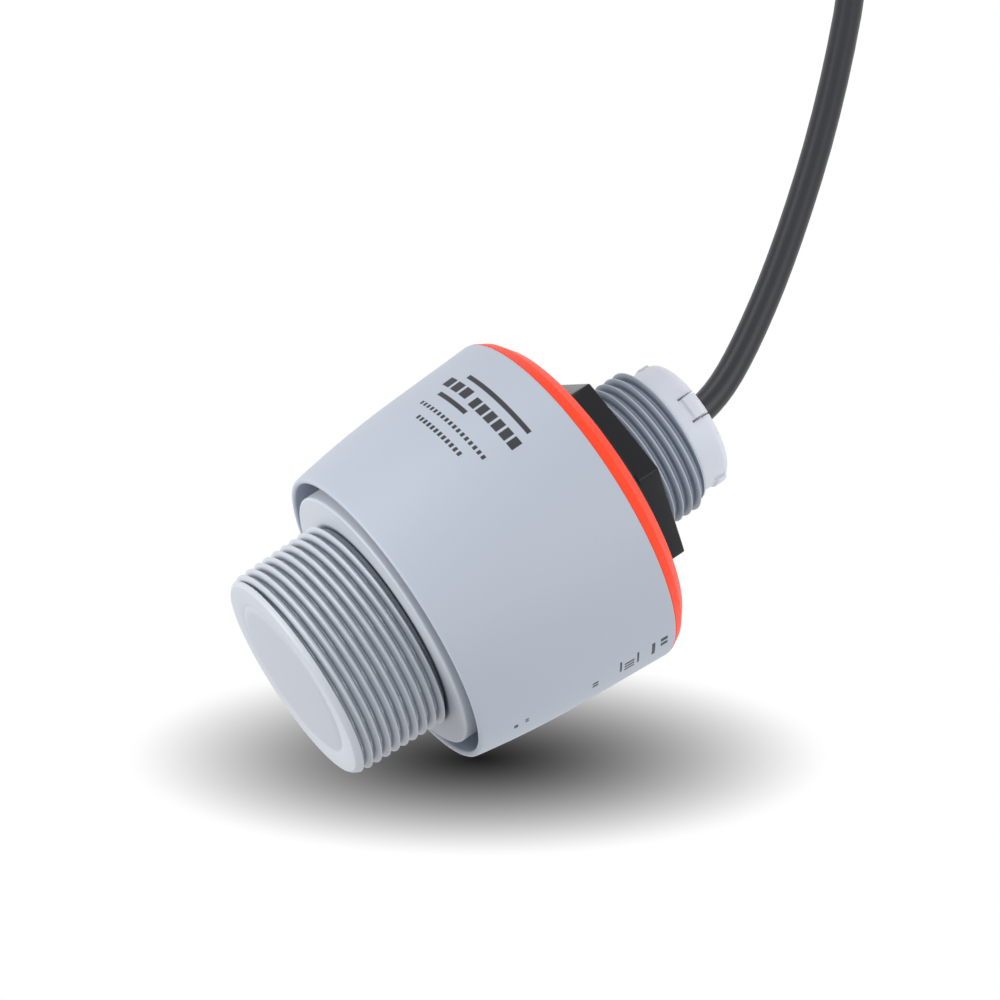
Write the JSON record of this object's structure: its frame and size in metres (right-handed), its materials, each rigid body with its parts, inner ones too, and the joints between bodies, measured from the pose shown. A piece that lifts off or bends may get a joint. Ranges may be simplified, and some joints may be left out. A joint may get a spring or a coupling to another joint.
{
  "type": "radar level sensor",
  "caption": "Compact radar level sensor with a closed antenna face, tapered process thread, threaded cable neck with lock nut, and a fixed cable.",
  "frame": {"origin": "centre of the raised disc of the antenna face, on the surface the sensor stands on", "axes": "+Z along the sensor's axis from the antenna face to the cable, +Y towards the folded cable"},
  "size_m": [0.077, 0.321, 0.2094],
  "materials": {
    "antenna_plastic": "satin",
    "shell_plastic": "fine satin",
    "ring_orange": "satin",
    "nut_plastic": "satin, moulded",
    "collar_plastic": "translucent, satin",
    "seal_rubber": "matte",
    "cable_jacket": "smooth, soft sheen",
    "steel": "plated",
    "resin": "cast",
    "core_brown": "smooth",
    "core_blue": "smooth",
    "tinned_wire": "stranded",
    "ferrule_tin": "crimped",
    "lens_plastic": "machined",
    "horn_metal": "turned",
    "absorber_foam": "foamed",
    "board": "solder mask",
    "chip": "moulded",
    "connector_plastic": "moulded",
    "tie_plastic": "moulded"
  },
  "bodies": {
    "housing": {"antenna_body": "antenna_plastic", "body_seal": "seal_rubber", "housing_skirt": "shell_plastic", "cover_gasket": "seal_rubber", "color_ring": "ring_orange", "top_cover": "shell_plastic", "cover_seal": "seal_rubber", "cable_collar": "collar_plastic", "cable_seal": "seal_rubber", "thrust_washer": "steel", "crimp_sleeve": "steel", "potting_plug": "resin", "inner_core_brown": "core_brown", "inner_core_blue": "core_blue", "cable_plug": "connector_plastic", "board_socket": "connector_plastic", "radar_lens": "lens_plastic", "horn": "horn_metal", "absorber_ring": "absorber_foam", "radar_board": "board", "radar_chip": "chip", "shield_can": "steel", "board_header": "chip", "power_board": "board", "processor": "chip", "inductor": "chip", "capacitor": "steel", "cable_tube": "cable_jacket", "cable_hank": "cable_jacket", "cable_tail": "cable_jacket", "tail_sleeve": "cable_jacket", "hank_tie_a": "tie_plastic", "hank_tie_b": "tie_plastic", "tail_core_brown": "core_brown", "tail_core_drain": "tinned_wire", "tail_core_blue": "core_blue", "ferrule_brown": "ferrule_tin", "ferrule_drain": "ferrule_tin", "ferrule_blue": "ferrule_tin", "spacer_post_a": "steel", "board_screw_a": "steel", "spacer_post_b": "steel", "board_screw_b": "steel", "spacer_post_c": "steel", "board_screw_c": "steel"},
    "washer": {"nut_washer": "nut_plastic"},
    "nut": {"lock_nut": "nut_plastic"}
  },
  "joints": [
    {"name": "nut_turn", "type": "hinge", "parent": "housing", "child": "washer", "pos_m": [0, 0, 0.0774], "axis": [0, 0, 1], "range_deg": [0, 1800]},
    {"name": "nut_travel", "type": "slide", "parent": "washer", "child": "nut", "axis": [0, 0, 1], "range_m": [0, 0.0116]}
  ],
  "couplings": [
    {"joint": "nut_travel", "follows": "nut_turn", "m_per_rad": 0.00036749}
  ]
}
